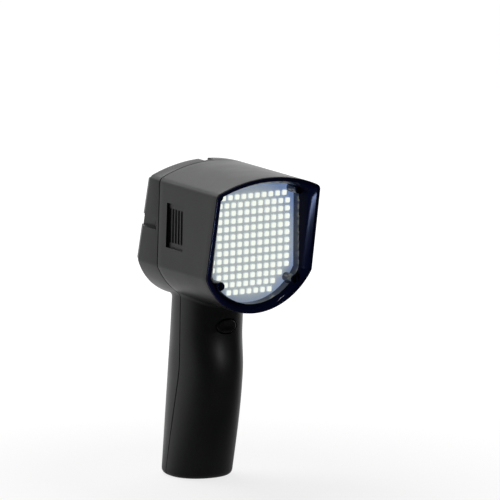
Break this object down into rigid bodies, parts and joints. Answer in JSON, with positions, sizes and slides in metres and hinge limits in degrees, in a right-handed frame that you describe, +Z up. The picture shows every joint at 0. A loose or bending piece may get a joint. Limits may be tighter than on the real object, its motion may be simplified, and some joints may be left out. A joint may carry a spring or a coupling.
{
  "type": "led stroboscope",
  "caption": "Hand-held LED stroboscope: pistol grip with a trigger, a hooded field of LEDs in front, and a display with push keys on the leaning rear face.",
  "frame": {"origin": "mouth of the tripod thread, in the plane of the grip's foot", "axes": "+Z up the grip, -Y the way the lamp shines, +Y towards the user at the display, +X to the left of a user who looks at the display"},
  "size_m": [0.0874, 0.1131, 0.2241],
  "materials": {
    "case_plastic": "fine moulded grain, satin",
    "hood_plastic": "polished moulded plastic",
    "lamp_board": "white solder mask on a glass-fibre board",
    "led_packages": "clear white package",
    "steel_screws": "zinc plated",
    "heat_spreader": "mill finish",
    "circuit_board": "green solder mask",
    "capacitor_cans": "printed sleeve",
    "inductor_ferrite": "pressed ferrite",
    "lcd_panel": "reflective liquid crystal panel",
    "clear_window": "clear moulded window",
    "switch_plastic": "moulded",
    "key_plastic": "fine moulded grain, satin",
    "trigger_plastic": "moulded, worn satin",
    "cell_cans": "film wrapped",
    "sleeve_film": "shrunk film",
    "tray_plastic": "moulded",
    "foam_pad": "cut foam",
    "socket_plastic": "moulded",
    "insert_brass": "turned",
    "black_screws": "black oxide",
    "lead_red": "insulated wire",
    "lead_black": "insulated wire",
    "lead_yellow": "insulated wire",
    "ribbon_grey": "flat ribbon cable"
  },
  "bodies": {
    "case": {"front_housing": "case_plastic", "rear_housing": "case_plastic", "lamp_hood": "hood_plastic", "led_board": "lamp_board", "led_array": "led_packages", "hood_screws": "steel_screws", "heat_spreader": "heat_spreader", "driver_board": "circuit_board", "capacitors": "capacitor_cans", "power_inductors": "inductor_ferrite", "driver_screws": "steel_screws", "main_board": "circuit_board", "lcd_module": "lcd_panel", "display_window": "clear_window", "key_switches": "switch_plastic", "board_screws": "steel_screws", "trigger_switch": "switch_plastic", "trigger_board": "circuit_board", "battery_cells": "cell_cans", "battery_sleeve": "sleeve_film", "battery_tray": "tray_plastic", "battery_foam": "foam_pad", "charging_socket": "socket_plastic", "sync_socket": "socket_plastic", "tripod_insert": "insert_brass", "head_screws": "black_screws", "grip_screws": "black_screws", "battery_lead": "lead_red", "socket_lead": "lead_black", "trigger_lead": "lead_yellow", "lamp_lead": "lead_red", "display_ribbon": "ribbon_grey"},
    "trigger": {"trigger_button": "trigger_plastic"},
    "key_upper_left_cap": {"key_upper_left": "key_plastic"},
    "key_upper_middle_cap": {"key_upper_middle": "key_plastic"},
    "key_upper_right_cap": {"key_upper_right": "key_plastic"},
    "key_lower_left_cap": {"key_lower_left": "key_plastic"},
    "key_lower_middle_cap": {"key_lower_middle": "key_plastic"},
    "key_lower_right_cap": {"key_lower_right": "key_plastic"}
  },
  "joints": [
    {"name": "trigger_press", "type": "slide", "parent": "case", "child": "trigger", "axis": [0, 1, 0], "range_m": [0, 0.0015], "stiffness_N_per_m": 600},
    {"name": "key_upper_left_press", "type": "slide", "parent": "case", "child": "key_upper_left_cap", "axis": [0, -0.9806, -0.1959], "range_m": [0, 0.0008], "stiffness_N_per_m": 500},
    {"name": "key_upper_middle_press", "type": "slide", "parent": "case", "child": "key_upper_middle_cap", "axis": [0, -0.9806, -0.1959], "range_m": [0, 0.0008], "stiffness_N_per_m": 500},
    {"name": "key_upper_right_press", "type": "slide", "parent": "case", "child": "key_upper_right_cap", "axis": [0, -0.9806, -0.1959], "range_m": [0, 0.0008], "stiffness_N_per_m": 500},
    {"name": "key_lower_left_press", "type": "slide", "parent": "case", "child": "key_lower_left_cap", "axis": [0, -0.9806, -0.1959], "range_m": [0, 0.0008], "stiffness_N_per_m": 500},
    {"name": "key_lower_middle_press", "type": "slide", "parent": "case", "child": "key_lower_middle_cap", "axis": [0, -0.9806, -0.1959], "range_m": [0, 0.0008], "stiffness_N_per_m": 500},
    {"name": "key_lower_right_press", "type": "slide", "parent": "case", "child": "key_lower_right_cap", "axis": [0, -0.9806, -0.1959], "range_m": [0, 0.0008], "stiffness_N_per_m": 500}
  ]
}
